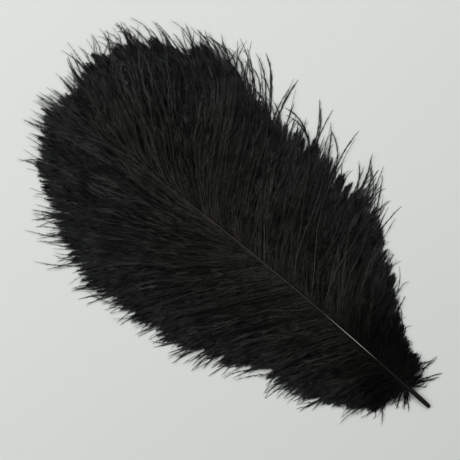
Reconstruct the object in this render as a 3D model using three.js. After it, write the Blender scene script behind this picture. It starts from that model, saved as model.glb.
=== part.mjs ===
// An ostrich plume, lying on a flat surface with its upper side up.
//
// A feather is one shaft with a vane of long, loose barbs along each side. The bare lower end of the
// shaft is the quill, and above it the shaft thins to a thread. The shaft arches over the surface, and
// the barbs leave it at a slant, bow outwards and droop until their ends lie down.
//
// Each vane is a thin closed plate that fills the space of its barbs, out to their tips.
// Millimetres. +X runs from the quill's end to the tip, +Y is the left vane's side and +Z is up.
// The origin is the middle of the plume's footprint, on the surface that it lies on.

import * as THREE from "three";

// ---- The shaft ----

const SHAFT_LENGTH = 340; // from the quill's blunt end to the shaft's tip, along X
const BARE_QUILL = 24; // the lower end, which carries no barbs
const QUILL_HEIGHT = 1.32; // the centre of the quill's end, so that its underside just meets the surface
const ARCH_HEIGHT = 17; // how far the middle of the shaft stands above that
const ARCH_SPAN = 385; // the arch would come back down here, past the shaft's tip
const SIDE_BOW = 2.6; // the shaft's slight bend towards the right vane
const SIDE_BOW_SPAN = 270; // where that bend is back on the centre line

// Half the shaft's width at stations along it. Its height is the same share of its width all along.
const SHAFT_HALF_WIDTH = [
  [0, 1.15],
  [1.2, 1.6],
  [9, 2.0],
  [24, 1.85],
  [60, 1.35],
  [120, 0.95],
  [200, 0.65],
  [280, 0.42],
  [340, 0.3],
];
const SHAFT_FLATNESS = 0.92;
const SHAFT_SIDES = 14;
const SHAFT_STATIONS = 54;

// ---- The barbs ----

const ROOT_GAP = 0.3; // clearance between a vane's root and the shaft
const TIP_GAP = 0.6; // half the parting between the two vanes past the shaft's tip

// Along each vane: [station of the root, barb length, slant of its chord from the shaft in degrees].
const LEFT_BARBS = [
  [24, 33, 80],
  [40, 52, 70],
  [60, 68, 60],
  [90, 102, 53],
  [130, 132, 49],
  [180, 136, 46.5],
  [230, 118, 43],
  [280, 98, 35],
  [320, 76, 21],
  [340, 59, 2],
];
const RIGHT_BARBS = [
  [24, 26, 84],
  [40, 41, 68],
  [60, 78, 60],
  [90, 124, 57],
  [130, 143, 52],
  [180, 160, 48],
  [230, 151, 44],
  [280, 121, 38],
  [320, 78, 23],
  [340, 57, 2],
];
const LEAVES_UNDER_CHORD = 12; // degrees by which a barb leaves the shaft closer to it than its chord
const ENDS_OVER_CHORD = 15; // and by which its end points further out

// ---- The vanes' thickness, and how they droop ----

const ROOT_THICKNESS = 4.2;
const TIP_THICKNESS = 1.7;
const BARB_LIFT = 1.6; // the barbs bow up a little before they droop
const LIES_DOWN_AT = 0.72; // the share of a barb's length at which it reaches the surface
const VANE_STEPS_ALONG = 34;
const VANE_STEPS_OUT = 10;

// A smooth value at x from knots [x, value, ...], read from the given column.
function valueAt(knots, x, column = 1) {
  let i = 0;
  while (i < knots.length - 2 && x > knots[i + 1][0]) i += 1;
  const [before, start, end, after] = [-1, 0, 1, 2].map(
    (step) => knots[THREE.MathUtils.clamp(i + step, 0, knots.length - 1)],
  );
  const width = end[0] - start[0];
  const share = (x - start[0]) / width;
  const slopeAtStart = (end[column] - before[column]) / (end[0] - before[0]);
  const slopeAtEnd = (after[column] - start[column]) / (after[0] - start[0]);
  const squared = share * share;
  const cubed = squared * share;
  return (
    (2 * cubed - 3 * squared + 1) * start[column] +
    (cubed - 2 * squared + share) * width * slopeAtStart +
    (3 * squared - 2 * cubed) * end[column] +
    (cubed - squared) * width * slopeAtEnd
  );
}

// The shaft's centre line.
function shaftPoint(x) {
  const bow = SIDE_BOW * Math.sin((Math.PI * x) / SIDE_BOW_SPAN);
  const rise = ARCH_HEIGHT * Math.sin((Math.PI * x) / ARCH_SPAN);
  return new THREE.Vector3(x, -bow, QUILL_HEIGHT + rise);
}

// A straight tapered spindle, whose points are then carried onto the arched centre line.
function shaftGeometry() {
  const profile = [new THREE.Vector2(0, 0)];
  for (let i = 0; i <= SHAFT_STATIONS; i += 1) {
    const x = SHAFT_LENGTH * (i / SHAFT_STATIONS) ** 1.35;
    profile.push(new THREE.Vector2(valueAt(SHAFT_HALF_WIDTH, x), x));
  }
  profile.push(new THREE.Vector2(0, SHAFT_LENGTH));
  const geometry = new THREE.LatheGeometry(profile, SHAFT_SIDES);
  const points = geometry.getAttribute("position");
  for (let i = 0; i < points.count; i += 1) {
    const centre = shaftPoint(points.getY(i));
    points.setXYZ(i, centre.x, centre.y - points.getX(i), centre.z + SHAFT_FLATNESS * points.getZ(i));
  }
  return geometry;
}

// A point on the barb that is rooted at the given station, at a share of its length.
function barbPoint(knots, side, station, share) {
  const radians = THREE.MathUtils.degToRad;
  const length = valueAt(knots, station, 1);
  const slant = valueAt(knots, station, 2);
  const heading = (degrees, reach) =>
    new THREE.Vector2(Math.cos(radians(degrees)), Math.sin(radians(degrees))).multiplyScalar(reach);

  const shaft = shaftPoint(station);
  const halfWidth = valueAt(SHAFT_HALF_WIDTH, station);
  const root = new THREE.Vector2(station, halfWidth + ROOT_GAP);
  const tip = root.clone().add(heading(slant, length));
  const plan = new THREE.CubicBezierCurve(
    root,
    root.clone().add(heading(Math.max(slant - LEAVES_UNDER_CHORD, 0), length / 3)),
    tip.clone().sub(heading(slant + ENDS_OVER_CHORD * Math.min(slant / 30, 1), length / 3)),
    tip,
  ).getPoint(share);

  const down = THREE.MathUtils.clamp(share / LIES_DOWN_AT, 0, 1);
  const height = shaft.z * (1 - down * down * (3 - 2 * down)) + BARB_LIFT * Math.sin(Math.PI * down);
  const across = Math.max(plan.y, TIP_GAP);
  return new THREE.Vector3(plan.x, shaft.y * (1 - down) + side * across, height);
}

// A closed plate between the vane's first barb and its last: a box whose points are carried onto the barbs.
function vaneGeometry(knots, side) {
  const geometry = new THREE.BoxGeometry(1, 1, 1, VANE_STEPS_ALONG, VANE_STEPS_OUT, 1);
  const points = geometry.getAttribute("position");
  for (let i = 0; i < points.count; i += 1) {
    const station = THREE.MathUtils.lerp(BARE_QUILL, SHAFT_LENGTH, points.getX(i) + 0.5);
    const share = 0.5 + side * points.getY(i);
    const middle = barbPoint(knots, side, station, share);
    const thickness = THREE.MathUtils.lerp(ROOT_THICKNESS, TIP_THICKNESS, share);
    const underside = Math.max(middle.z - thickness / 2, 0);
    points.setXYZ(i, middle.x, middle.y, underside + thickness * (points.getZ(i) + 0.5));
  }
  return geometry;
}

function named(name, geometry, material) {
  const mesh = new THREE.Mesh(geometry, material);
  mesh.name = name;
  return mesh;
}

const dyedShaft = new THREE.MeshStandardMaterial({ color: 0x1c1b19, roughness: 0.38, metalness: 0 });
const dyedBarbs = new THREE.MeshStandardMaterial({ color: 0x151514, roughness: 0.75, metalness: 0 });

const plume = new THREE.Group();
plume.add(
  named("shaft", shaftGeometry(), dyedShaft),
  named("left_vane", vaneGeometry(LEFT_BARBS, 1), dyedBarbs),
  named("right_vane", vaneGeometry(RIGHT_BARBS, -1), dyedBarbs),
);

// The footprint's middle goes to the origin.
const box = new THREE.Box3().setFromObject(plume, true);
const middle = box.getCenter(new THREE.Vector3());
plume.position.set(-middle.x, -middle.y, -box.min.z);

export default plume;
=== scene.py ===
# %% [markdown]
# # An ostrich plume, in mesh
# A feather is one long shaft that carries a vane of barbs on each side. On most birds the barbs hook
# together into a smooth blade. An ostrich's barbs have lost their hooks, so they hang loose, and each
# one trails hundreds of soft barbules. That is what makes a plume look like hair.
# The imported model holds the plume's size: an arched shaft, and two plain plates that fill the space
# of the barbs. This script makes the shaft smooth and grows the real barbs in place of the plates.
#
# The row's origin is the middle of the plume's footprint. +X runs to the tip, +Y to the left vane
# and +Z up. Blender works in metres, but the plume's sizes stay in millimetres until they become a
# mesh, because a feather is easier to read that way.

# %% Load the frame
import math

import bmesh
import bpy
import numpy as np
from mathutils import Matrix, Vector


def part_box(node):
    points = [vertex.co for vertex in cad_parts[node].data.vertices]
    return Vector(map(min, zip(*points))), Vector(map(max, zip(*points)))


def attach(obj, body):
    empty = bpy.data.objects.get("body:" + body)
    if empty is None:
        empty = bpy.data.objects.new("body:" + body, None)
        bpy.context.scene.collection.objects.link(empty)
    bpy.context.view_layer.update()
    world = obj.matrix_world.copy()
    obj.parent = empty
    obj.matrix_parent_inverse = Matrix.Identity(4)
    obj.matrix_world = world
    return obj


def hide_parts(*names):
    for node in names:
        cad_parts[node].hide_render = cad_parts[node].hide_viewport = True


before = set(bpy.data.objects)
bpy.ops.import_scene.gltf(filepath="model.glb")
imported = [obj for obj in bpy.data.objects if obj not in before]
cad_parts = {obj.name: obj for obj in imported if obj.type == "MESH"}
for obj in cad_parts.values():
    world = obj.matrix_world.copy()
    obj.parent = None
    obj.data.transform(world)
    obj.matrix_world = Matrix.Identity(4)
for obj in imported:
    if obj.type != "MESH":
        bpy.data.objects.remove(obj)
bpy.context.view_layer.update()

MM = 0.001
shaft_low, shaft_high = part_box("shaft")
print("nodes:", ", ".join(sorted(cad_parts)))

# %% [markdown]
# ## Where the shaft runs
# Everything else hangs on the shaft's centre line, so it comes first. It rises from the quill's end
# in one long arch and bends a little towards the right vane, both as half waves of a sine. Another
# way would be a Bezier curve with hand-set handles. The sine is kept because one line of code gives
# the height and the bend at any station, for the shaft as well as for the hundreds of barb roots.

# %% The shaft's centre line and width
SHAFT_LENGTH = 340.0
BARE_QUILL = 24.0  # the quill's length below the first barbs
QUILL_HEIGHT = 1.32
ARCH_HEIGHT = 17.0
ARCH_SPAN = 385.0
SIDE_BOW = 2.6
SIDE_BOW_SPAN = 270.0

# Rows of [station along the shaft, half its width there].
HALF_WIDTHS = [
    [0, 1.15], [1.2, 1.6], [9, 2.0], [24, 1.85], [60, 1.35],
    [120, 0.95], [200, 0.65], [280, 0.42], [340, 0.3],
]


def read_off(rows, x, column=1):
    """Smooth values at the stations x, through rows that start with a station."""
    stations, values = np.array(rows, float)[:, [0, column]].T
    last = len(stations) - 1
    knots = np.arange(last + 1)
    ahead, behind = np.minimum(knots + 1, last), np.maximum(knots - 1, 0)
    slopes = (values[ahead] - values[behind]) / (stations[ahead] - stations[behind])
    i = np.clip(np.searchsorted(stations, x) - 1, 0, last - 1)
    width = stations[i + 1] - stations[i]
    t = (x - stations[i]) / width
    return (
        (2 * t**3 - 3 * t**2 + 1) * values[i]
        + (t**3 - 2 * t**2 + t) * width * slopes[i]
        + (3 * t**2 - 2 * t**3) * values[i + 1]
        + (t**3 - t**2) * width * slopes[i + 1]
    )


def ease(x, low, high):
    """0 below low, 1 above high and a smooth step between them."""
    t = np.clip((x - low) / (high - low), 0, 1)
    return t * t * (3 - 2 * t)


def side_bow(x):
    return -SIDE_BOW * np.sin(np.pi * x / SIDE_BOW_SPAN)


def shaft_height(x):
    return QUILL_HEIGHT + ARCH_HEIGHT * np.sin(np.pi * x / ARCH_SPAN)


# The CAD shaft says where this line lies in the row's frame.
every_mm = np.arange(0, SHAFT_LENGTH + 1)
QUILL_X = shaft_low.x / MM
AXIS_Y = shaft_high.y / MM - (side_bow(every_mm) + read_off(HALF_WIDTHS, every_mm)).max()


def in_row(points):
    """Points measured from the quill's end, in millimetres, as metres in the row's frame."""
    return (points + np.array([QUILL_X, AXIS_Y, 0])) * MM


print(f"the quill's end is at x {QUILL_X:.1f}, y {AXIS_Y:.1f} mm")

# %% [markdown]
# ## The camera
# The camera looks straight down on the plume, from far off with a long lens, so that the arched
# middle isn't enlarged. It is turned about its own line of sight, which lays the plume corner to
# corner. The lens follows from the distance and from the width that the picture takes in.

# %% Set the camera
PICTURE_SIDE = 460  # pixels
MM_PER_PIXEL = 0.803
CAMERA_DISTANCE = 1600.0
SENSOR = 36.0
CLIP_END = 50.0  # metres, past the floor's rim
PLUME_TURN = math.radians(139.8)  # the way to the tip in the picture, anticlockwise from the right
MIDDLE_STATION = 214.1  # what the picture's middle shows: this far from the quill's end
MIDDLE_ACROSS = -5.1  # and this far to the left vane's side


def add(name, data):
    """A new object in the scene, made of the given mesh, light or camera."""
    obj = bpy.data.objects.new(name, data)
    bpy.context.scene.collection.objects.link(obj)
    return obj


camera_data = bpy.data.cameras.new("camera")
camera_data.sensor_width = SENSOR
camera_data.lens = SENSOR * CAMERA_DISTANCE / (PICTURE_SIDE * MM_PER_PIXEL)
camera_data.clip_end = CLIP_END
camera = add("camera", camera_data)
camera.location = in_row(np.array([MIDDLE_STATION, MIDDLE_ACROSS, CAMERA_DISTANCE]))
camera.rotation_euler = (0, 0, -PLUME_TURN)
bpy.context.scene.camera = camera
print(f"a {camera_data.lens:.0f} mm lens, {CAMERA_DISTANCE * MM:.1f} m up")

# %% [markdown]
# ## The floor
# The plume lies on a plain pale sheet. A flat plane would end in a hard horizon when the camera is
# low, so the sheet is a very wide shallow dish: a short profile spun once round the centre, flat in
# the middle and curling up at the rim, as a paper backdrop does.

# %% Make the floor
FLOOR_RADIUS = 4.5  # metres, like everything in the room
RIM_RADIUS = 1.5
RIM_STEPS = 8
FLOOR_SIDES = 64


def to_object(name, bm):
    """Turns a bmesh into an object at the origin."""
    mesh = bpy.data.meshes.new(name)
    bm.to_mesh(mesh)
    bm.free()
    return add(name, mesh)


def make_floor():
    bm = bmesh.new()
    profile = [bm.verts.new((0, 0, 0)), bm.verts.new((FLOOR_RADIUS, 0, 0))]
    for step in range(1, RIM_STEPS + 1):
        turn = math.radians(90) * step / RIM_STEPS
        out = FLOOR_RADIUS + RIM_RADIUS * math.sin(turn)
        profile.append(bm.verts.new((out, 0, RIM_RADIUS * (1 - math.cos(turn)))))
    edges = [bm.edges.new(pair) for pair in zip(profile, profile[1:])]
    bmesh.ops.spin(
        bm, geom=profile + edges, cent=(0, 0, 0), axis=(0, 0, 1),
        angle=math.tau, steps=FLOOR_SIDES, use_merge=True,
    )
    bmesh.ops.remove_doubles(bm, verts=bm.verts, dist=1e-5)
    for face in bm.faces:
        if face.normal.z < 0:
            face.normal_flip()
        face.smooth = True
    return to_object("floor", bm)


floor = make_floor()
print("the floor has", len(floor.data.polygons), "faces")

# %% [markdown]
# ### The floor's finish
# A matt sheet in a very light grey with a breath of green. It has no pattern of its own. A little
# noise in its colour keeps it from looking like a computer's flat fill. The helpers of this cell
# make and link shader nodes, and every finish below is built with them.

# %% Colour the floor
MIX_INPUTS, MIX_RESULT = (0, 6, 7), 2  # a Mix node's share and its two colours, and the mixed one


def new_material(name):
    """An empty material with its Principled BSDF: (material, its node tree, the shader)."""
    material = bpy.data.materials.new(name)
    material.use_nodes = True
    return material, material.node_tree, material.node_tree.nodes["Principled BSDF"]


def give(tree, socket, given):
    """Gives an input its value, or a link from the output socket that feeds it."""
    if isinstance(given, bpy.types.NodeSocket):
        tree.links.new(given, socket)
    else:
        socket.default_value = given


def feed(tree, node, **inputs):
    """Gives a node's named inputs a value or a socket each."""
    for name, given in inputs.items():
        give(tree, node.inputs[name.replace("_", " ")], given)
    return node


def wire(tree, kind, **inputs):
    return feed(tree, tree.nodes.new(kind), **inputs)


def mixed(tree, share, a, b):
    """The colour between a and b, by a share from 0 to 1. Each is a value or a socket."""
    node = tree.nodes.new("ShaderNodeMix")
    node.data_type = "RGBA"
    for number, given in zip(MIX_INPUTS, (share, a, b)):
        give(tree, node.inputs[number], given)
    return node.outputs[MIX_RESULT]


FLOOR_COLOUR = (0.675, 0.69, 0.665, 1)
FLOOR_SHADE = (0.655, 0.67, 0.65, 1)

paper, tree, shader = new_material("pale_paper")
place = tree.nodes.new("ShaderNodeTexCoord").outputs["Object"]
mottle = wire(tree, "ShaderNodeTexNoise", Vector=place, Scale=3.0, Detail=2.0)
tint = mixed(tree, mottle.outputs["Fac"], FLOOR_SHADE, FLOOR_COLOUR)
feed(tree, shader, Base_Color=tint, Roughness=0.9, Specular_IOR_Level=0.15)
floor.data.materials.append(paper)
print(paper.name, "has", len(tree.nodes), "nodes")

# %% [markdown]
# ## The light
# Two large soft boxes stand over the plume, one on the right vane's side and one past the tip on the
# left vane's side. They give the barbs their faint streaks of sheen, and the shadows fall towards
# the quill. The room's own light fills the rest. Black hair needs large lights: a small one would
# leave sparks on single fibres and nothing between them.

# %% Set the lights
ROOM_COLOUR = (0.93, 0.96, 0.94, 1)
ROOM_STRENGTH = 0.36


def soft_box(name, towards, distance, side, watts):
    """A square area light that faces the plume from the given direction."""
    data = bpy.data.lights.new(name, "AREA")
    data.size = side
    data.energy = watts
    light = add(name, data)
    direction = Vector(towards).normalized()
    light.location = direction * distance
    light.rotation_euler = direction.to_track_quat("Z", "Y").to_euler()


soft_box("right_light", towards=(0.3, -0.72, 1.0), distance=1.6, side=0.8, watts=11.0)
soft_box("tip_light", towards=(0.65, 0.4, 1.0), distance=1.3, side=1.0, watts=8.8)

room = bpy.data.worlds.new("room")
room.use_nodes = True
background = room.node_tree.nodes["Background"]
feed(room.node_tree, background, Color=ROOM_COLOUR, Strength=ROOM_STRENGTH)
bpy.context.scene.world = room
bpy.context.scene.view_settings.view_transform = "Standard"
print("lights:", ", ".join(light.name for light in bpy.data.lights))

# %% [markdown]
# ## The dye
# Barbs and shaft are keratin, dyed black right through. Black isn't one colour, though: each strand
# took the dye a little differently, some lean to brown and some to blue grey, and the soft ends are
# a shade paler than the roots. A White Noise node turns a strand's number into its own shade, which
# an image could do only with a spot for every strand. The barbs and the shaft share the effect, so
# it is a node group that each material places with its own values.

# %% Build the shared dye group
# Strand is the number that picks a strand's shade, Along is 0 at its root and 1 at its end, and
# the third input is the painted shade: 1 where it makes the black its deepest.
DYE_INPUTS = {
    "Float": ("Strand", "Along", "Soaked", "Mottle Scale"),
    "Vector": ("Place",),
    "Color": ("Deep", "Brown", "Faded"),
}
DULLEST = 0.85  # the highest roughness


def reckon(tree, operation, a, b):
    """A Math node's result. Each of the two is a value or a socket."""
    node = tree.nodes.new("ShaderNodeMath")
    node.operation = operation
    give(tree, node.inputs[0], a)
    give(tree, node.inputs[1], b)
    return node.outputs[0]


def ramp(tree, value, low, high, to_low=0.0, to_high=1.0):
    """A value that goes from to_low to to_high while the given one goes from low to high."""
    node = wire(tree, "ShaderNodeMapRange", Value=value, From_Min=low, From_Max=high)
    feed(tree, node, To_Min=to_low, To_Max=to_high)
    return node.outputs["Result"]


def luck_of(tree, number):
    """A random value from 0 to 1 for each whole number."""
    node = tree.nodes.new("ShaderNodeTexWhiteNoise")
    node.noise_dimensions = "1D"
    tree.links.new(number, node.inputs["W"])
    return node.outputs["Value"]


def dye_group():
    """Colours and gloss that differ from strand to strand and along each one, darkened by painted
    shade.
    """
    group = bpy.data.node_groups.new("dye_and_shade", "ShaderNodeTree")
    for kind, names in DYE_INPUTS.items():
        for name in names:
            group.interface.new_socket(name, in_out="INPUT", socket_type="NodeSocket" + kind)
    group.interface.new_socket("Colour", in_out="OUTPUT", socket_type="NodeSocketColor")
    group.interface.new_socket("Roughness", in_out="OUTPUT", socket_type="NodeSocketFloat")
    given = group.nodes.new("NodeGroupInput").outputs
    out = group.nodes.new("NodeGroupOutput").inputs

    luck = luck_of(group, given["Strand"])
    mottle = wire(
        group, "ShaderNodeTexNoise",
        Vector=given["Place"], Scale=given["Mottle Scale"], Detail=5.0, Roughness=0.65,
    ).outputs["Fac"]

    brown = reckon(group, "MULTIPLY", luck, ramp(group, mottle, 0.38, 0.6, 0.4, 1.0))
    shade = mixed(group, brown, given["Deep"], given["Brown"])
    faded = ramp(group, given["Along"], 0.35, 1.0)
    faded = reckon(group, "MULTIPLY", faded, ramp(group, mottle, 0.3, 0.7, 0.3, 1.0))
    faded = reckon(group, "MULTIPLY", faded, luck)
    shade = mixed(group, faded, shade, given["Faded"])
    # Painted shade pulls the colour towards the deepest black.
    group.links.new(mixed(group, given["Soaked"], shade, given["Deep"]), out["Colour"])

    satin = ramp(group, mottle, 0.3, 0.7, 0.36, 0.58)
    satin = reckon(group, "ADD", satin, given["Soaked"])
    group.links.new(reckon(group, "MINIMUM", satin, DULLEST), out["Roughness"])
    return group


def place_group(tree, group, **inputs):
    node = tree.nodes.new("ShaderNodeGroup")
    node.node_tree = group
    return feed(tree, node, **inputs)


dye_and_shade = dye_group()
print(dye_and_shade.name, "has", len(dye_and_shade.nodes), "nodes")

# %% [markdown]
# ### The barbs' finish
# Each barb lies along a row of its mesh's UV map, so the shader knows which barb it is on and how
# far out. The rows are fewer than the barbs, because thirty-six shades a layer are more than the eye
# can tell apart. The lower layer gets painted shade, darker than the upper one that would shadow it,
# and the barbs by the quill get the deepest painted shade, because the down there is so dense that
# little light comes back out of it. The stems get a painted sheen, a little paler than the barbules,
# most of all near their roots.

# %% Make the barbs' material
UV_MAP = "OFBake"  # each piece's own map. The barbs' has U along a barb, and V picks its row
LAYER_ROWS = 36
MAP_ROWS = 2 * LAYER_ROWS  # the lower layer has the first half of them
STEM_STRIP = 0.7  # a row's share that is for barbules. The rest is for the stem
# Painted shade: the barbs by the quill, and the lower layer under the upper one, are drawn towards the
# deepest black.
SHADE_BY_QUILL = 0.84
SHADE_BELOW = 0.45  # in the lower layer
SHADE_TO = 82.0  # on the shaft, the barbs nearer to the quill's end than this are so dark
EVEN_FROM = 136.0
SHADE_SLANT = 0.6  # out from the shaft, they keep it for so much less of the way
LESS_ON_LEFT = 30.0  # and so much less of it in the left vane
DEEP_BLACK = (0.0012, 0.0012, 0.0013, 1)
BROWN_BLACK = (0.0430, 0.0420, 0.0382, 1)
FADED_BLACK = (0.0560, 0.0590, 0.0620, 1)
# The painted sheen of the stems.
STEM_SHEEN = (0.046, 0.044, 0.039, 1)


def shade_by_quill(tree, place):
    """How much painted shade there is, by the place on the vane."""
    station, row_y, _ = wire(tree, "ShaderNodeSeparateXYZ", Vector=place).outputs
    off_axis = reckon(tree, "SUBTRACT", row_y, AXIS_Y * MM)
    outwards = reckon(tree, "MULTIPLY", reckon(tree, "ABSOLUTE", off_axis, 0.0), SHADE_SLANT)
    onwards = reckon(tree, "ADD", station, outwards)
    on_left = ramp(tree, off_axis, -3 * MM, 3 * MM, 0.0, LESS_ON_LEFT * MM)
    onwards = reckon(tree, "ADD", onwards, on_left)
    low, high = (QUILL_X + SHADE_TO) * MM, (QUILL_X + EVEN_FROM) * MM
    return ramp(tree, onwards, low, high, SHADE_BY_QUILL, 0.0)


def on_the_map(tree):
    """Where a point lies on its piece's map: (U, V)."""
    spot = tree.nodes.new("ShaderNodeUVMap")
    spot.uv_map = UV_MAP
    return wire(tree, "ShaderNodeSeparateXYZ", Vector=spot.outputs["UV"]).outputs[:2]


def barb_material():
    """The finish of the dyed barbs, with painted shade and a painted sheen on the stems."""
    material, tree, shader = new_material("dyed_barbs")
    along, across = on_the_map(tree)
    row = reckon(tree, "MULTIPLY", across, float(MAP_ROWS))
    strand = reckon(tree, "FLOOR", row, 0.0)
    on_stem = reckon(tree, "GREATER_THAN", reckon(tree, "FRACT", row, 0.0), STEM_STRIP)
    upper = reckon(tree, "GREATER_THAN", across, 0.5)

    place = tree.nodes.new("ShaderNodeTexCoord").outputs["Object"]
    # Painted shade by the quill and on the lower layer.
    below = ramp(tree, upper, 0.0, 1.0, SHADE_BELOW, 0.0)
    painted_shade = reckon(tree, "MAXIMUM", shade_by_quill(tree, place), below)
    dye = place_group(
        tree, dye_and_shade, Strand=strand, Along=along, Soaked=painted_shade, Place=place, Mottle_Scale=60.0,
        Deep=DEEP_BLACK, Brown=BROWN_BLACK, Faded=FADED_BLACK,
    )
    # A painted sheen on the stems, strongest near their roots and varied from strand to strand.
    sheen_share = reckon(tree, "MULTIPLY", on_stem, ramp(tree, along, 0.1, 0.5, 1.0, 0.25))
    sheen_share = reckon(tree, "MULTIPLY", sheen_share, ramp(tree, luck_of(tree, strand), 0.0, 1.0, 0.3, 1.0))
    stem = mixed(tree, painted_shade, STEM_SHEEN, DEEP_BLACK)
    colour = mixed(tree, sheen_share, dye.outputs["Colour"], stem)
    roughness = dye.outputs["Roughness"]
    feed(tree, shader, Base_Color=colour, Roughness=roughness, Specular_IOR_Level=0.05)
    return material


dyed_barbs = barb_material()
print(dyed_barbs.name, "has", MAP_ROWS, "rows on its map")

# %% [markdown]
# ## The shaft
# The shaft is one horn spar. Its bare end, the quill, is a hollow tube that closes in a blunt end
# with a small pit, where the feather was fed as it grew. From the first barbs on, the spar is solid,
# and a groove runs along its underside. A curve with a round bevel would give the taper but not the
# groove or the pit. So a ring is extruded along the centre line, and each new ring is shaped.

# %% Make the shaft
SHAFT_SIDES = 20
SHAFT_FLATNESS = 0.92
GROOVE_DEPTH = 0.4  # its share of the half width
GROOVE_COMES = 40.0  # over this length past the quill
RING_STEP = 4.0
BODY_FROM = 1.2  # where the quill's rounded end has become its wall

# Rows of [station, half width]: the pit, then the rounded rim of the quill's end, and the tip.
END_RINGS = [[0.9, 0.3], [0.2, 0.42], [0.0, 0.62], [0.03, 0.88], [0.18, 1.1], [0.55, 1.38]]
TIP_RINGS = [[SHAFT_LENGTH - 0.3, 0.3], [SHAFT_LENGTH, 0.18]]


def shape_ring(verts, x, half):
    """Moves a ring of vertices to its place on the shaft, with the groove under it."""
    turn = math.tau * np.arange(SHAFT_SIDES) / SHAFT_SIDES
    right_under = ease(-np.cos(turn), 0.75, 1.0)
    groove = GROOVE_DEPTH * ease(x, BARE_QUILL, BARE_QUILL + GROOVE_COMES) * right_under
    slope = shaft_height(x + 0.5) - shaft_height(x - 0.5)
    up = half * (SHAFT_FLATNESS * np.cos(turn) + groove)
    ring = np.stack([x - slope * up, side_bow(x) + half * np.sin(turn), shaft_height(x) + up], 1)
    for vert, spot in zip(verts, in_row(ring)):
        vert.co = spot


def map_shaft(bm, ring_count):
    """The map: U runs from the quill's end to the tip, V runs round from the top."""
    bm.verts.index_update()
    shaft_map = bm.loops.layers.uv.new(UV_MAP)
    for face in bm.faces:
        face.smooth = True
        rings_here = [loop.vert.index // SHAFT_SIDES for loop in face.loops]
        corners = [loop.vert.index % SHAFT_SIDES for loop in face.loops]
        wraps = max(corners) - min(corners) > SHAFT_SIDES / 2
        for loop, ring, corner in zip(face.loops, rings_here, corners):
            v = SHAFT_SIDES if wraps and corner == 0 else corner
            loop[shaft_map].uv = (ring / ring_count, v / SHAFT_SIDES)


def make_shaft():
    bm = bmesh.new()
    body = np.arange(BODY_FROM, SHAFT_LENGTH, RING_STEP)
    rings = END_RINGS + [[x, read_off(HALF_WIDTHS, x)] for x in body] + TIP_RINGS
    bmesh.ops.create_circle(bm, cap_ends=True, segments=SHAFT_SIDES, radius=MM)
    end = bm.faces[:]
    shape_ring([loop.vert for loop in end[0].loops], *rings[0])
    for number, (x, half) in enumerate(rings[1:]):
        grown = bmesh.ops.extrude_face_region(bm, geom=end)["geom"]
        if number > 0:
            bmesh.ops.delete(bm, geom=end, context="FACES_ONLY")
        end = [g for g in grown if isinstance(g, bmesh.types.BMFace)]
        shape_ring([loop.vert for loop in end[0].loops], x, half)
    bmesh.ops.recalc_face_normals(bm, faces=bm.faces)
    map_shaft(bm, len(rings))
    return to_object("quill_and_shaft", bm)


shaft = make_shaft()
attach(shaft, "root")
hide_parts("shaft")
print("the shaft has", len(shaft.data.polygons), "faces")

# %% [markdown]
# ### The shaft's finish
# The same dye, on horn: satin black at the quill. On top of the middle runs one narrow painted
# highlight, a pale streak where the arch would mirror the light. It fades further up, and comes
# back a little in the crown, where the painted highlight keeps the thin shaft paler than the barbs
# that close in on it. Fine fibres run along it, which a stretched noise gives to the bump, and the
# dye's colour changes a little from fibre to fibre.

# %% Colour the shaft
HORN_DEEP = (0.0016, 0.0015, 0.0015, 1)
HORN_BROWN = (0.0058, 0.0050, 0.0042, 1)
HORN_FADED = (0.01, 0.009, 0.008, 1)
# The painted highlight: a pale streak along the top of the shaft, where its arch would mirror the
# light.
HIGHLIGHT_COLOUR = (0.34, 0.33, 0.285, 1)
HIGHLIGHT_FROM, HIGHLIGHT_MOST, HIGHLIGHT_FADES, HIGHLIGHT_TO = 57.0, 78.0, 90.0, 115.0  # stations
HIGHLIGHT_ABOVE = 0.1  # how much of the painted highlight stays further up
CROWN_FROM, CROWN_TO = 205.0, 235.0
HIGHLIGHT_IN_CROWN = 0.27
HIGHLIGHT_ON_TOP = 0.042  # of the way round, to each side of the top
WIDE_FROM, WIDER = 200.0, 0.3  # here the way round counts for so little, for a wider streak
FIBRES = 36
FIBRE_STRETCH = (40.0, 2600.0, 2600.0)
FIBRE_HEIGHT = 0.04


def painted_highlight(tree, station, around):
    """How much painted highlight there is, by the place along and round the shaft."""

    def change(low, high, to_low, to_high):
        return ramp(tree, station, (QUILL_X + low) * MM, (QUILL_X + high) * MM, to_low, to_high)

    comes = change(HIGHLIGHT_FROM, HIGHLIGHT_MOST, 0.0, 1.0)
    goes = change(HIGHLIGHT_FADES, HIGHLIGHT_TO, 1.0, HIGHLIGHT_ABOVE)
    goes = reckon(tree, "MAXIMUM", goes, change(CROWN_FROM, CROWN_TO, 0.0, HIGHLIGHT_IN_CROWN))
    from_top = reckon(tree, "PINGPONG", around, 0.5)
    from_top = reckon(tree, "MULTIPLY", from_top, change(HIGHLIGHT_TO, WIDE_FROM, 1.0, WIDER))
    on_top = ramp(tree, from_top, HIGHLIGHT_ON_TOP * 0.5, HIGHLIGHT_ON_TOP, 1.0, 0.0)
    return reckon(tree, "MULTIPLY", reckon(tree, "MULTIPLY", comes, goes), on_top)


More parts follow.
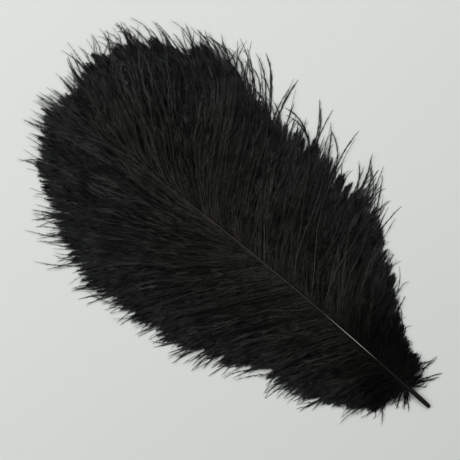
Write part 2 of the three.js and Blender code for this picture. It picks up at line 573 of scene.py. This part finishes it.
def shaft_material():
    material, tree, shader = new_material("dyed_horn")
    _, around = on_the_map(tree)
    place = tree.nodes.new("ShaderNodeTexCoord").outputs["Object"]
    station = wire(tree, "ShaderNodeSeparateXYZ", Vector=place).outputs["X"]
    fibre = reckon(tree, "FLOOR", reckon(tree, "MULTIPLY", around, float(FIBRES)), 0.0)
    dye = place_group(
        tree, dye_and_shade, Strand=fibre, Along=0.0, Soaked=0.0, Place=place, Mottle_Scale=140.0,
        Deep=HORN_DEEP, Brown=HORN_BROWN, Faded=HORN_FADED,
    )
    # A painted highlight along the top of the shaft.
    highlight = painted_highlight(tree, station, around)
    colour = mixed(tree, highlight, dye.outputs["Colour"], HIGHLIGHT_COLOUR)
    roughness = dye.outputs["Roughness"]
    feed(tree, shader, Base_Color=colour, Roughness=roughness, Specular_IOR_Level=0.2)

    stretched = wire(tree, "ShaderNodeMapping", Vector=place, Scale=FIBRE_STRETCH)
    grain = wire(tree, "ShaderNodeTexNoise", Vector=stretched.outputs[0], Scale=1.0, Detail=2.0)
    height = grain.outputs["Fac"]
    bump = wire(tree, "ShaderNodeBump", Height=height, Distance=FIBRE_HEIGHT * MM, Strength=0.6)
    feed(tree, shader, Normal=bump.outputs["Normal"])
    return material


shaft.data.materials.append(shaft_material())
print("the shaft is", shaft.data.materials[0].name)

# %% [markdown]
# ## The barbs' paths
# A barb leaves the shaft at a slant, bows outwards and droops until its end lies on the floor. Seen
# from above that is a cubic Bezier curve, whose slant and length change from the quill to the tip.
# Those two lists are the plume's outline. Blender's hair curves could hold the barbs, but an export
# drops them, so the paths are plain arrays: one row for each barb, one column for each step along it.
# Single barbs stand out beyond the edge, and those are listed one by one.

# %% The vanes' outlines
STEPS = 25  # points along a barb
ROOT_OUT, ROOT_UP = 0.6, 0.74  # where on the shaft's flank the barbs start, in half widths
FULL_BOW_FROM = 30.0  # a barb with a smaller slant than this bows less

# Rows of [station of the root, barb length, slant of its chord from the shaft, how much more than
# that its end slants, how much less its root slants]. Slants are in degrees.
LEFT_BARBS = [
    [24, 34, 80, 10, 12], [36, 55, 65, 12, 10], [50, 74, 59, 12, 8], [70, 80, 59, 8, 5],
    [80, 80, 58, 8, 4], [90, 94, 57, 8, 4], [110, 113, 56, 12, 5], [130, 122, 55, 12, 3],
    [155, 128, 54, 12, 0], [170, 136, 50, 8, 0], [179, 161, 39, 8, 0], [186, 178, 28, 8, -14],
    [196, 186, 19, 10, -16], [212, 184, 10, 10, -16], [240, 156, 3, 4, -18], [280, 117, -2, 0, -20],
    [320, 74, -3, 0, -12], [340, 52, -2, 0, 0],
]
RIGHT_BARBS = [
    [24, 24, 84, 10, 12], [36, 34, 66, 12, 12], [50, 59, 62, 15, 12], [60, 75, 64, 15, 16],
    [70, 86, 65, 16, 20], [90, 104, 65, 22, 24], [110, 112, 65, 16, 26], [130, 116, 64, 8, 26],
    [150, 119, 62, 2, 22], [170, 119, 62, 0, 16], [190, 120, 61, -10, 16], [205, 129, 56, -24, 18],
    [215, 141, 52, -36, 18], [230, 151, 46, -36, 12], [240, 149, 39, -32, 12], [252, 148, 32, -28, 12],
    [270, 136, 28, -26, 8], [290, 120, 25, -24, 4], [310, 98, 20, -14, 0], [330, 61, 11, -4, 0],
    [340, 50, 4, 0, 0],
]

# Single barbs that stand out beyond the edge, as rows of the same kind without the last number.
WISP_LEAVES_UNDER = 12.0  # theirs is the same for all
LEFT_WISPS = [
    [30, 43, 76, 12], [42, 77, 63, 14], [46, 76, 61, 30], [52, 81, 60, 10], [56, 85, 59, 25],
    [96, 106, 57, 20], [104, 115, 59, 12], [108, 114, 58, 22], [117, 124, 59, 18], [121, 123, 58, 5],
    [134, 125, 58, -10], [146, 129, 57, 14], [155, 134, 55, 22], [172, 144, 47, -50],
    [174, 138, 50, -44], [175, 148, 45, 20], [179, 152, 39, 26], [181, 156, 35, 12],
    [183, 163, 30, 24], [184, 166, 28, -6], [185, 169, 25, -10], [186, 173, 24, 30],
    [187, 178, 22, 16], [188, 176, 21, -14], [190, 180, 20, 22], [193, 180, 18, -8],
    [196, 182, 17, 14], [202, 180, 14, 24], [214, 180, 9, 20], [236, 163, 5, 10],
]
RIGHT_WISPS = [
    [24, 29, 120, 22], [25, 34, 95, 5], [27, 29, 100, 15], [31, 27, 70, 10], [52, 57, 66, 10],
    [60, 70, 65, 15], [84, 115, 70, 24], [86, 109, 67, 10], [92, 115, 66, -12], [93, 119, 65, 26],
    [96, 126, 64, 24], [97, 122, 66, 20], [99, 131, 65, 22], [100, 127, 67, -16], [101, 128, 64, 28],
    [102, 134, 68, 4], [108, 129, 66, 10], [112, 137, 66, -8], [113, 133, 67, -24],
    [128, 145, 66, 24], [140, 150, 46, -60], [146, 138, 63, -20], [152, 146, 65, 14],
    [160, 148, 63, -16], [176, 144, 61, 5], [182, 149, 61, 12], [180, 150, 62, 25],
    [195, 159, 56, -28], [198, 157, 54, -35], [207, 155, 54, -25], [206, 161, 55, 8],
    [205, 162, 53, 27], [210, 161, 53, -30], [212, 143, 49, -40], [219, 147, 46, -40],
    [224, 149, 45, -40], [236, 150, 40, -34], [240, 144, 38, -30], [248, 148, 36, -28],
    [255, 145, 33, -22],
]


def plan_paths(stations, lengths, slants, bends, unders):
    """Each barb from above, on the left side: [barb, step, x and y]."""
    t = np.linspace(0, 1, STEPS)[None, :, None]

    def headed(degrees, reach):
        turn = np.radians(degrees)
        return np.stack([np.cos(turn), np.sin(turn)], 1) * reach[:, None]

    root = np.stack([stations, ROOT_OUT * read_off(HALF_WIDTHS, stations)], 1)
    tip = root + headed(slants, lengths)
    spread = np.minimum(slants / FULL_BOW_FROM, 1)
    near = root + headed(slants - unders * spread, lengths / 3)
    far = tip - headed(slants + bends * spread, lengths / 3)
    root, near, far, tip = (p[:, None] for p in (root, near, far, tip))
    return (
        (1 - t) ** 3 * root + 3 * (1 - t) ** 2 * t * near + 3 * (1 - t) * t**2 * far + t**3 * tip
    )


print("the longest barbs have", max(row[1] for row in LEFT_BARBS + RIGHT_BARBS), "mm")

# %% [markdown]
# ### Where the roots go
# Round the crown the ends of neighbouring barbs come far apart. Roots at even distances would leave
# gaps there, so they are placed by how fast the ends move along the outline. Chance then moves each
# a little. It comes from one numbered source, so that the plume grows the same way each time.

# %% Space the roots
rng = np.random.default_rng(20)
EVEN_SHARE = 0.2  # how much the distance along the shaft counts, next to the ends' distance


def sway(n):
    """Random numbers round 0, most of them within 1 and none beyond 2."""
    return np.clip(rng.normal(0, 1, n), -2, 2)


def swell(x, every, amount):
    """A smooth random value along the shaft that changes about every so many millimetres."""
    knots = np.arange(-every, SHAFT_LENGTH + 2 * every, every)
    return read_off(np.stack([knots, rng.normal(0, amount, len(knots))], 1), x)


def spaced_stations(rows, n, stray):
    """Roots of n barbs, closest where the vane fans out. Each may stray by a share of the gap."""
    x = np.arange(BARE_QUILL + 1, SHAFT_LENGTH, 1.0)
    tips = plan_paths(x, *(read_off(rows, x, column) for column in (1, 2, 3, 4)))[:, -1]
    fan = np.linalg.norm(np.gradient(tips, axis=0), axis=1)
    crowd = np.cumsum(EVEN_SHARE + fan)
    step = (crowd[-1] - crowd[0]) / n
    places = crowd[0] + (np.arange(n) + 0.5 + rng.uniform(-stray, stray, n)) * step
    return np.interp(places, crowd, x)


print("roots run from", BARE_QUILL, "to", SHAFT_LENGTH, "mm")

# %% [markdown]
# ### All the barbs of a vane
# Each vane has two layers of barbs. The lower ones lie evenly, one by one, and close the vane. The
# upper ones stray and cross each other, and three in ten end early. Round these go the thin ones: a
# fringe along the edge, the wisps that stand out beyond it, each with a shorter twin at its side,
# and the curly down by the quill. All of them are rows of the same numbers, so one function plans
# them all.

# %% Plan a vane
LOWER_BARBS, UPPER_BARBS = 300, 285
LOWER_STRAY, UPPER_STRAY = 0.3, 1.4  # how far a root may be astray, in gaps
DOWN_BARBS = 34
FRINGE_BARBS = 60
TIDY_FROM = 80.0  # the barbs nearer to the quill's end than this are the more ragged
FAN_FROM, FAN_TO = 165.0, 190.0  # here the vane starts to fan out
CROWN_ROOTS_FROM, CROWN_ROOTS_TO = 235.0, 300.0
EARLY_ENDS = 0.3  # the share of the upper barbs that end early
EARLY_BY = (5.0, 38.0)
LOWER_BY = (3.0, 15.0)  # the lower ones all end a little before the edge
FULL_LACK_FROM = 90.0  # a barb shorter than this lacks less
LEFT_REACH, RIGHT_REACH = 116.0, 133.0  # no barb ends further than this from the shaft
TWIN_STRAY = np.array([1.2, 1.0, 0.8, 12.0])  # how a wisp's twin differs, in each of a row's numbers


def down():
    """Short curly barbs by the quill, which point every way, as rows like the wisps'."""
    n = DOWN_BARBS
    stations = BARE_QUILL - 2 + rng.exponential(9, n)
    lengths = rng.uniform(9, 20, n) + 0.5 * (stations - BARE_QUILL)
    return np.stack([stations, lengths, rng.uniform(55, 140, n), rng.normal(0, 40, n)], 1)


def fringe(rows):
    """Thin barbs that end on the vane's edge or a little beyond, as rows like the wisps'."""
    x = spaced_stations(rows, FRINGE_BARBS, 0.5)
    n = len(x)
    lengths = read_off(rows, x) * rng.uniform(0.97, 1.05, n)
    slants = read_off(rows, x, 2) + 4 * sway(n)
    return np.stack([x, lengths, slants, read_off(rows, x, 3) + 20 * sway(n)], 1)


def thin_barbs(rows, wisps):
    twins = wisps + rng.normal(0, 1, np.shape(wisps)) * TWIN_STRAY
    twins[:, 1] *= rng.uniform(0.88, 0.98, len(wisps))
    return np.concatenate([wisps, twins, fringe(rows), down()])


def full_barbs(rows):
    """The two layers of full barbs from above: (lines, whether each is in the upper layer)."""
    lower_x = spaced_stations(rows, LOWER_BARBS, LOWER_STRAY)
    x = np.concatenate([lower_x, spaced_stations(rows, UPPER_BARBS, UPPER_STRAY)])
    n = len(x)
    upper = np.arange(n) >= LOWER_BARBS
    ragged = 1 - ease(x, BARE_QUILL, TIDY_FROM)
    crown = ease(x, CROWN_ROOTS_FROM, CROWN_ROOTS_TO)
    fanned = ease(x, FAN_FROM, FAN_TO)

    early = rng.random(n) < EARLY_ENDS
    upper_lacks = np.where(early, rng.uniform(*EARLY_BY, n), 3 * sway(n) - 1.8)
    lower_lacks = rng.uniform(*LOWER_BY, n) * (1 - 0.4 * fanned) + 6 * fanned + 5 * crown
    lacks = np.where(upper, upper_lacks, lower_lacks) + swell(x, 7, 2.5)
    length = read_off(rows, x)
    length = length - lacks * np.minimum(length / FULL_LACK_FROM, 1)
    length *= 1 + upper * ragged * rng.normal(0, 0.1, n)
    slant_stray = np.where(upper, 3.2 + 7 * ragged + 4 * crown, 0.35)
    slants = read_off(rows, x, 2) + sway(n) * slant_stray
    bend_stray = np.where(upper, 13 + 10 * ragged + 10 * fanned, 3)
    bends = read_off(rows, x, 3) + sway(n) * bend_stray
    return plan_paths(x, length, slants, bends, read_off(rows, x, 4)), upper


def plan_vane(rows, wisps, reach):
    """Every barb of a vane seen from above, with its layer: 0 lower, 1 upper, 2 a thin one."""
    lines, upper = full_barbs(rows)
    thin = thin_barbs(rows, wisps)
    lines = np.concatenate([lines, plan_paths(*thin.T, WISP_LEAVES_UNDER)])
    fits = np.minimum(reach / lines[..., 1].max(axis=1), 1)
    lines = lines[:, :1] + (lines - lines[:, :1]) * fits[:, None, None]
    layer = np.concatenate([upper.astype(int), np.full(len(thin), 2)])
    order = np.argsort(lines[:, 0, 0], kind="stable")
    return lines[order], layer[order]


print(LOWER_BARBS + UPPER_BARBS, "full barbs to a vane")

# %% [markdown]
# ### Locks and tufts
# Soft barbs cling together. Half way out, five to eleven of them gather in a lock that has its own
# shade and lies higher or lower than the next, which gives the vane its long soft streaks. Towards
# the edge a handful at a time closes into a pointed tuft. Both are made by drawing each barb towards
# the one in the middle of its group, for a part of its length. A particle system's clumps do the
# same, but an export drops them.

# %% Draw neighbours together
LOCK_SIZES = (5, 11)
LOCK_PULLS = (0.1, 0.75)
LOCK_LIFT = 2.4
LOCK_CLOSES, LOCK_OPENS = (0.22, 0.6), (0.62, 0.95)  # shares of a barb's length
LOCK_SHADES = 2  # next to each other on the map
LOCK_JUMP = 5  # rows of the map from one lock to the next
TUFT_CLOSES = (0.68, 1.0)
TUFTS = ((0, 3, 0.0, 0.25), (1, 5, 0.3, 0.85))  # layer, most barbs in one, weakest and strongest pull


def groups(members, fewest, most):
    """Shares neighbours out into groups: (each one's group, the barb in its middle)."""
    sizes = rng.integers(fewest, most + 1, len(members))
    group = np.repeat(np.arange(len(sizes)), sizes)[: len(members)]
    return group, members[np.searchsorted(group, group) + np.bincount(group)[group] // 2]


def cling(lines, layer):
    """Draws neighbours together: (the new lines, how high each is lifted, its row of the map)."""
    t = np.linspace(0, 1, STEPS)
    drawn = lines.copy()
    lift = np.zeros(len(lines))
    shade_rows = rng.integers(0, LAYER_ROWS, len(lines))

    locks = np.flatnonzero(layer == 1)
    lock, leader = groups(locks, *LOCK_SIZES)
    pull = rng.uniform(*LOCK_PULLS, len(locks))[:, None]
    pull = pull * ease(t, *LOCK_CLOSES) * (1 - ease(t, *LOCK_OPENS))
    drawn[locks] += pull[..., None] * (lines[leader] - lines[locks])
    lift[locks] = rng.uniform(0, LOCK_LIFT, len(locks))[lock]
    shade = LOCK_JUMP * lock + rng.integers(0, LOCK_SHADES, len(locks))
    shade_rows[locks] = shade % LAYER_ROWS

    for one, most, weakest, strongest in TUFTS:
        members = np.flatnonzero(layer == one)
        _, leader = groups(members, 2, most)
        pull = rng.uniform(weakest, strongest, len(members))[:, None] * ease(t, *TUFT_CLOSES)
        drawn[members] += pull[..., None] * (lines[leader] - lines[members])
    return drawn, lift, shade_rows + np.where(layer == 0, 0, LAYER_ROWS)


print("locks of", LOCK_SIZES[0], "to", LOCK_SIZES[1], "barbs")

# %% [markdown]
# ### Ripple and droop
# So far the barbs are smooth bows on a drawing board. Two sines of random length ripple each one,
# its end curls off to a side, and its height falls from the shaft's flank to the floor. Sines are
# used because their size is easy to tame: too much of them, and feather turns to knitting wool.
# A barb that runs along the shaft keeps beside it, so that the shaft shows nearly to its thin end.

# %% Grow the vanes
WAVER = np.array([0.3, 0.9, 0.6])  # how far a barb swings to each side, in each layer
CURL = np.array([0.2, 1.0, 0.4])  # how much its end strays
STRONG_CURLS = 0.35  # the share of the barbs whose ends stray four times as much
BARB_LIFT = 1.6
LAYER_DROP = 0.6  # the lower layer lies so much lower
LIES_DOWN_AT = 0.72  # the share of a barb's length at which it reaches the floor
MAY_CROSS_FROM = 272.0  # towards the tip from here, a barb may cross the thin end of the shaft
CLEAR_OF_SHAFT = 0.1


def unit(vectors):
    return vectors / np.maximum(np.linalg.norm(vectors, axis=-1, keepdims=True), 1e-9)


def sideways(paths):
    """The level direction square to each path, at each step."""
    ahead = unit(np.gradient(paths[..., :2], axis=1))
    return np.stack([-ahead[..., 1], ahead[..., 0]], 2)


def wave(arc, shortest, longest):
    """A sine of random length and phase along each path."""
    n = len(arc)
    turns = arc / rng.uniform(shortest, longest, n)[:, None] + rng.random(n)[:, None]
    return np.sin(math.tau * turns)


def rippled(plan, arc, layer):
    """The barbs from above, with their ripples and curled ends."""
    t = np.linspace(0, 1, STEPS)
    n = len(plan)
    waver = (wave(arc, 35, 90) + 0.35 * wave(arc, 12, 24)) * WAVER[layer][:, None]
    waver *= ease(arc, 2, 30) * (1 - 0.7 * ease(t, 0.6, 0.95))
    waver *= 1 + 1.2 * (1 - ease(plan[:, :1, 0], BARE_QUILL, 110))
    curl = np.where(rng.random(n) < STRONG_CURLS, 4.0, 1.0) * CURL[layer]
    stray = (rng.normal(0, 1, n) * curl)[:, None] * t**5
    return plan + (waver + stray)[..., None] * sideways(plan)


def grow_vane(rows, wisps, reach, side):
    """The barbs of one vane, in millimetres from the quill's end: (paths, layer, shade row)."""
    t = np.linspace(0, 1, STEPS)
    lines, layer = plan_vane(rows, wisps, reach)
    n = len(lines)
    plan, lock_lift, shade_rows = cling(lines, layer)
    steps = np.linalg.norm(np.diff(plan, axis=1, prepend=plan[:, :1]), axis=2)
    arc = np.cumsum(steps, axis=1)
    plan = rippled(plan, arc, layer)

    upper = (layer == 1)[:, None]
    lift = (lock_lift + rng.uniform(0.1, 1.3, n))[:, None] * upper
    lift = lift - LAYER_DROP * (layer == 0)[:, None]
    lift = lift + (wave(arc, 25, 60) + 0.4 * wave(arc, 10, 20)) * np.where(upper, 0.7, 0.3)

    root = plan[:, :1, 0]
    down = np.clip(t / (LIES_DOWN_AT + rng.uniform(-0.1, 0.15, n)[:, None]), 0, 1)
    over = ease(down, 0, 1)
    start = shaft_height(root) + ROOT_UP * read_off(HALF_WIDTHS, root)
    height = start * (1 - over) + BARB_LIFT * np.sin(np.pi * down)
    height += lift * np.sin(np.pi * np.minimum(t * 1.12, 1)) ** 0.6
    height = np.maximum(height, rng.uniform(0.4, 2.5, n)[:, None] * ease(t, 0, 0.4))

    # Beside the shaft, a barb stays on its own side of it, but may cross its thin end.
    x = plan[..., 0]
    from_shaft = plan[..., 1] + side * (side_bow(root) * (1 - down) - side_bow(x))
    half_width = read_off(HALF_WIDTHS, np.minimum(x, SHAFT_LENGTH))
    own_side = np.maximum(from_shaft, CLEAR_OF_SHAFT + half_width * ease(t, 0, 0.08))
    across = own_side + (from_shaft - own_side) * ease(x, MAY_CROSS_FROM, SHAFT_LENGTH)
    return np.stack([x, side_bow(x) + side * across, height], 2), layer, shade_rows


vanes = {
    "left": grow_vane(LEFT_BARBS, LEFT_WISPS, LEFT_REACH, 1),
    "right": grow_vane(RIGHT_BARBS, RIGHT_WISPS, RIGHT_REACH, -1),
}
for name, (paths, layer, _) in vanes.items():
    print(name, "vane:", len(paths), "barbs,", (layer == 0).sum(), "of them in the lower layer")

# %% [markdown]
# ## A barb's stem as mesh
# Each stem is a thin tube, closed at both ends. Three sides are enough for something half a
# millimetre to a millimetre thick. Bmesh could extrude each one, but the same ring repeated along a
# known path is quicker as one array, with the same pattern of faces for each barb.

# %% Mesh the stems
STEM_RADII = np.array([0.22, 0.28, 0.55])  # in the lower layer, in the upper one and of thin barbs
STEM_TIP_RADIUS = 0.09
STEM_TAPERS = np.array([0.8, 0.8, 1.8])  # the higher, the later it thins
STEM_SIDES = 3


def frames_along(paths):
    """Unit vectors at each step: ahead, to the side and up from the barb."""
    ahead = unit(np.gradient(paths, axis=1))
    side = unit(np.cross([0.0, 0.0, 1.0], ahead))
    return ahead, side, np.cross(ahead, side)


def stem_triangles():
    """The vertices that each triangle of one stem joins: its walls and its two ends."""
    corner = np.arange(STEM_SIDES)
    after = (corner + 1) % STEM_SIDES
    here = np.arange(STEPS - 1)[:, None] * STEM_SIDES
    ahead = here + STEM_SIDES
    quads = np.stack([here + corner, here + after, ahead + after, ahead + corner], 2)
    wall = np.concatenate([quads[..., [0, 1, 2]], quads[..., [0, 2, 3]]], 1).reshape(-1, 3)
    last = (STEPS - 1) * STEM_SIDES
    return np.concatenate([wall, [[2, 1, 0], [last, last + 1, last + 2]]])


def stem_mesh(paths, layer, rows):
    """Vertices, triangles and map places of a thin tube round each path."""
    n = len(paths)
    _, side, up = frames_along(paths)
    t = np.linspace(0, 1, STEPS)
    taper = 1 - t ** STEM_TAPERS[layer][:, None]
    radius = STEM_TIP_RADIUS + (STEM_RADII[layer][:, None] - STEM_TIP_RADIUS) * taper
    turn = math.tau * (np.arange(STEM_SIDES) + 0.75) / STEM_SIDES
    ring = np.cos(turn)[:, None] * side[:, :, None] + np.sin(turn)[:, None] * up[:, :, None]
    points = (paths[:, :, None] + radius[:, :, None, None] * ring).reshape(-1, 3)

    first = (np.arange(n) * STEPS * STEM_SIDES)[:, None, None]
    triangles = (stem_triangles()[None] + first).reshape(-1, 3)
    along = np.broadcast_to(t[None, :, None], (n, STEPS, STEM_SIDES))
    row = np.broadcast_to(rows[:, None, None] + 0.75 + 0.1 * np.arange(STEM_SIDES), along.shape)
    return points, triangles, np.stack([along.ravel(), row.ravel() / MAP_ROWS], 1)


print("each stem has", len(stem_triangles()), "triangles")

# %% [markdown]
# ## The barbules
# Barbules sit close together on both sides of every stem, lean forwards along it and get shorter
# and flatter to it towards its end, which is why barbs end in points. Each is one long triangle, a
# fifth of a millimetre wide at its root, or two fifths in the lower layer that has to be dense, and
# drawn out to a point. Bent hairs would be finer still, but hundreds of thousands of them are
# needed, so straight ones have to do. Neighbours cling to each other in small tufts here as well.

# %% Place the barbules
# In the lower layer, in the upper one and on thin barbs. Leans are in degrees away from the stem.
BARBULE_LENGTHS = np.array([7.5, 6.0, 4.2])
BARBULE_WIDTHS = np.array([0.42, 0.21, 0.25])
BARBULE_LEANS = np.array([32.0, 22.0, 15.0])
BARBULE_END_LEANS = np.array([21.0, 14.0, 11.0])
END_SHORTER = np.array([0.65, 0.82, 0.7])  # towards the barb's end they lose this share
END_REACH = np.array([16.0, 38.0, 16.0])  # over so many millimetres of it
MOST_END = 0.4  # but over no more than this share of the barb
THIN_FLUFF = (0.3, 1.3)  # thin barbs have so much longer or shorter barbules, by chance
TUFT_SPACING = 3.0  # millimetres of stem to each tuft of barbules that cling together
TUFT_CLING = np.array([0.4, 0.85, 0.6])
FLOOR_CLEARANCE = 0.06
BARE_SHAFT = 0.8  # how much of the shaft's half width no barbule covers


def along_barbs(values, barb, t):
    """Values of the given barbs, at a share t of each one's length."""
    step = np.clip(t, 0, 1) * (STEPS - 1)
    low = np.minimum(step.astype(int), STEPS - 2)
    share = (step - low)[:, None]
    return values[barb, low] * (1 - share) + values[barb, low + 1] * share


def barb_lengths(paths):
    return np.linalg.norm(np.diff(paths, axis=1), axis=2).sum(1)


def bare_the_shaft(corners, side_of_shaft):
    """Moves barbules that would cover the shaft back to their side of it, up to its thin end."""
    x = corners[..., 0]
    across = side_of_shaft * (corners[..., 1] - side_bow(x))
    missing = np.maximum(BARE_SHAFT * read_off(HALF_WIDTHS, x) - across, 0)
    still = 1 - ease(x, MAY_CROSS_FROM, MAY_CROSS_FROM + 20)
    corners[..., 1] += side_of_shaft * missing * still


print("barbules of", BARBULE_LENGTHS.min(), "to", BARBULE_LENGTHS.max(), "mm")

# %% [markdown]
# ### A barbule's shade
# On the map a barbule is a sliver in its barb's row. Near the shaft the shade changes every two
# tufts, which gives the vane a fine crumbly grain there, and further out every five, for longer
# streaks. In the lower layer each tuft takes any row at all.

# %% Mesh the barbules
BARBULES_PER_PIECE = 125_000
TUFTS_ALIKE = np.array([2, 5])  # neighbours of one shade, near the shaft and further out
SHADE_DRIFT = 3  # rows of the map that the upper layer's barbules spread over
SLIVER_LONG, SLIVER_TALL = 0.006, 0.25  # a barbule on the map: its share of U, and of its row


def map_places(t, hand, place, kind, barb, shade_rows, tufts):
    run = np.where(kind == 0, 1, TUFTS_ALIKE[(t > 0.5).astype(int)])
    alike = 2 * (place // run) + hand
    any_row = rng.integers(0, LAYER_ROWS, tufts)[barb, alike]
    drift = np.where(kind == 0, any_row, rng.integers(0, SHADE_DRIFT, tufts)[barb, alike])
    first = np.where(kind == 0, 0, LAYER_ROWS)
    row = first + (shade_rows[barb] - first + drift) % LAYER_ROWS
    u = t[:, None] + SLIVER_LONG * np.array([0, 1, 0])
    v = (row + 0.35)[:, None] + SLIVER_TALL * np.array([-1, 0, 1])
    return np.stack([u.ravel(), v.ravel() / MAP_ROWS], 1)


def barbule_mesh(paths, layer, shade_rows, side_of_shaft):
    """Vertices, triangles and map places of barbules, shared out by the barbs' lengths."""
    n = len(paths)
    lengths = barb_lengths(paths)
    shares = np.round(BARBULES_PER_PIECE * lengths / lengths.sum()).astype(int)
    barb = np.repeat(np.arange(n), shares)
    k = len(barb)
    fluff = np.where(layer == 2, rng.uniform(*THIN_FLUFF, n), 1.0)
    t = np.sqrt(1 + 3 * rng.uniform(0.0, 0.98, k)) - 1  # closer together towards the end
    hand = rng.integers(0, 2, k)
    kind = layer[barb]
    place = (t * lengths[barb] / TUFT_SPACING).astype(int)
    tuft = 2 * place + hand
    tufts = (n, tuft.max() + 1)
    middle_t = (place + 0.5) * TUFT_SPACING / lengths[barb]

    def tip_from(t, lean_stray, roll, stretch):
        """Where a barbule that is rooted at t ends, its root and the way up from it."""
        root, ahead, side, up = (along_barbs(v, barb, t) for v in (paths, *frames_along(paths)))
        outwards = ((2 * hand - 1) * np.cos(roll))[:, None] * side + np.sin(roll)[:, None] * up
        out = ease(t, 0.3, 0.95)
        lean = BARBULE_LEANS[kind] * (1 - out) + BARBULE_END_LEANS[kind] * out
        lean = np.radians(lean + lean_stray)[:, None]
        start = np.where(kind == 0, 0.8 + 0.2 * ease(t, 0, 0.2), 0.3 + 0.7 * ease(t, 0, 0.3))
        to_go = (1 - t) * lengths[barb] / np.minimum(END_REACH[kind], MOST_END * lengths[barb])
        end = 1 - END_SHORTER[kind] * (1 - ease(to_go, 0, 1))
        length = (BARBULE_LENGTHS[kind] * start * end * fluff[barb] * stretch)[:, None]
        return root + length * (np.cos(lean) * ahead + np.sin(lean) * outwards), root, up

    own_tip, root, up = tip_from(
        t, rng.normal(0, 4, k), rng.normal(0, 0.7, k), rng.uniform(0.6, 1.2, k)
    )
    tuft_tip, _, _ = tip_from(
        middle_t, rng.normal(0, 7, tufts)[barb, tuft], rng.normal(0, 0.7, tufts)[barb, tuft],
        rng.uniform(0.6, 1.35, tufts)[barb, tuft],
    )
    clings = (TUFT_CLING[kind] * rng.uniform(0.7, 1.0, tufts)[barb, tuft])[:, None]
    tip = own_tip + clings * (tuft_tip - own_tip)

    flat = unit(np.cross(tip - root, up))
    twist = rng.normal(0, 0.4, k)[:, None]
    blade = np.cos(twist) * flat + np.sin(twist) * up
    half = (0.5 * BARBULE_WIDTHS[kind] * rng.uniform(0.7, 1.2, k))[:, None]
    corners = np.stack([root - half * blade, tip, root + half * blade], 1)
    corners[..., 2] = np.maximum(corners[..., 2], FLOOR_CLEARANCE)
    bare_the_shaft(corners, side_of_shaft)

    triangles = np.arange(3 * k).reshape(k, 3)
    places = map_places(t, hand, place, kind, barb, shade_rows, tufts)
    return corners.reshape(-1, 3), triangles, places


print("tufts of one shade, near the shaft and further out:", *TUFTS_ALIKE)

# %% [markdown]
# ## Joining them into pieces
# One vane is too much for a single mesh, so each is made as three pieces, with the same length of
# barb in each: those by the quill, those of the middle and the crown. The pieces stand in for the
# packed plate of their vane.

# %% Build the pieces of the vanes
PIECES_PER_VANE = ("by_the_quill", "middle", "crown")


def barb_piece(name, paths, layer, shade_rows, side):
    """One object of stems and barbules, with its map and its material."""
    stems = stem_mesh(paths, layer, shade_rows)
    barbules = barbule_mesh(paths, layer, shade_rows, side)
    points, triangles, places = (np.concatenate(pair) for pair in zip(stems, barbules))
    triangles[len(stems[1]):] += len(stems[0])

    mesh = bpy.data.meshes.new(name)
    mesh.from_pydata(in_row(points), [], triangles)
    barb_map = mesh.uv_layers.new(name=UV_MAP)
    barb_map.uv.foreach_set("vector", places[triangles.ravel()].astype(np.float32).ravel())
    mesh.polygons.foreach_set("use_smooth", np.ones(len(triangles), bool))
    mesh.materials.append(dyed_barbs)
    mesh.update()
    return add(name, mesh)


for vane, (paths, layer, shade_rows) in vanes.items():
    side = 1 if vane == "left" else -1
    so_far = np.cumsum(barb_lengths(paths))
    part_of = (so_far / so_far[-1] * len(PIECES_PER_VANE) - 1e-9).astype(int)
    for number, part in enumerate(PIECES_PER_VANE):
        some = part_of == number
        piece = barb_piece(f"{vane}_barbs_{part}", paths[some], layer[some], shade_rows[some], side)
        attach(piece, "root")
        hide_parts(f"{vane}_vane")
        print(piece.name, len(piece.data.polygons), "triangles")
